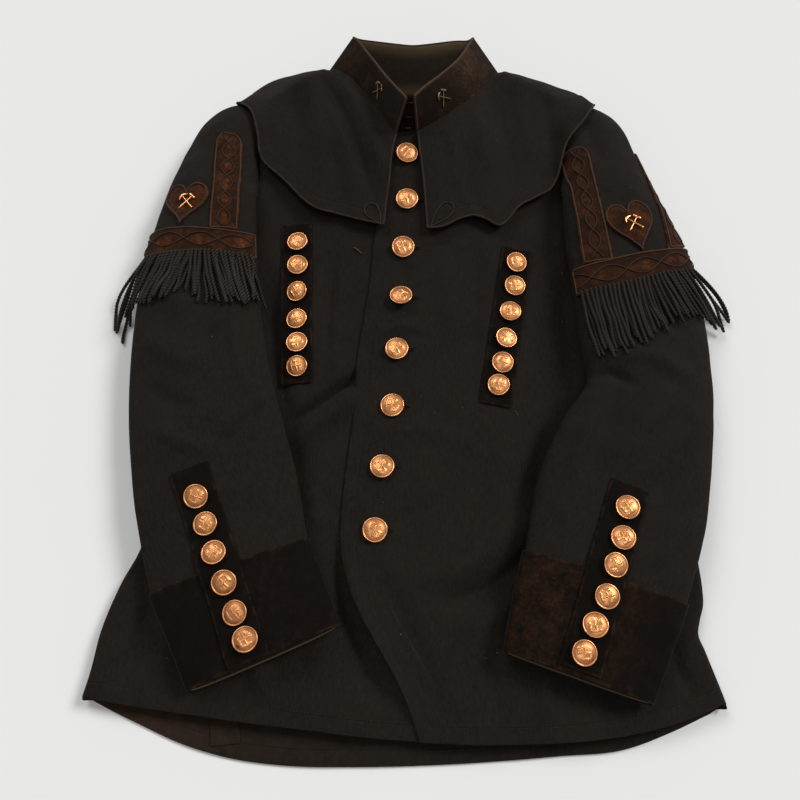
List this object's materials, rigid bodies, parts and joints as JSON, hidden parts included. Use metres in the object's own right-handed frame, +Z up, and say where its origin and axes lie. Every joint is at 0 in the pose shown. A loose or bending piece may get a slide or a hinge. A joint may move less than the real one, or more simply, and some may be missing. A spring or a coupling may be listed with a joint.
{
  "type": "uniform tunic",
  "caption": "Miner's dress tunic laid flat and buttoned: stand collar, shoulder cape, velvet cuffs, rows of buttons, ribbon bands and cord fringe on the sleeves.",
  "frame": {"origin": "on the surface the tunic lies on, under the middle of its outline", "axes": "+Y from the hem to the collar, +X to the wearer's left, +Z up from the surface through the back to the fronts"},
  "size_m": [0.5742, 0.7135, 0.0845],
  "materials": {
    "wool": "black wool cloth, finely woven, faded to brown-black",
    "velvet": "black cotton velvet, rubbed brown at edges",
    "ribbon": "velvet ribbon rubbed to red-brown, couched with braid",
    "cord": "twisted black cord",
    "copper": "stamped brass with a coppery lacquer"
  },
  "bodies": {
    "root": {"back": "wool", "front_right": "wool", "front_left": "wool", "cape_right": "wool", "cape_left": "wool", "cape_back": "wool", "sleeve_right": "wool", "sleeve_left": "wool", "collar": "velvet", "cuff_right": "velvet", "cuff_left": "velvet", "cuff_strip_right": "velvet", "cuff_strip_left": "velvet", "chest_strip_right": "velvet", "chest_strip_left": "velvet", "heart_right": "velvet", "heart_left": "velvet", "arm_band_right": "ribbon", "arm_band_left": "ribbon", "arm_tab_right": "ribbon", "arm_tab_left_inner": "ribbon", "arm_tab_left_outer": "ribbon", "fringe_right": "cord", "fringe_left": "cord", "heart_emblem_right": "copper", "heart_emblem_left": "copper", "collar_badge_right": "copper", "collar_badge_left": "copper", "front_button_1": "copper", "front_button_2": "copper", "front_button_3": "copper", "front_button_4": "copper", "front_button_5": "copper", "front_button_6": "copper", "front_button_7": "copper", "front_button_8": "copper", "chest_button_right_1": "copper", "chest_button_right_2": "copper", "chest_button_right_3": "copper", "chest_button_right_4": "copper", "chest_button_right_5": "copper", "chest_button_right_6": "copper", "chest_button_left_1": "copper", "chest_button_left_2": "copper", "chest_button_left_3": "copper", "chest_button_left_4": "copper", "chest_button_left_5": "copper", "chest_button_left_6": "copper", "cuff_button_right_1": "copper", "cuff_button_right_2": "copper", "cuff_button_right_3": "copper", "cuff_button_right_4": "copper", "cuff_button_right_5": "copper", "cuff_button_right_6": "copper", "cuff_button_left_1": "copper", "cuff_button_left_2": "copper", "cuff_button_left_3": "copper", "cuff_button_left_4": "copper", "cuff_button_left_5": "copper", "cuff_button_left_6": "copper"}
  },
  "joints": []
}
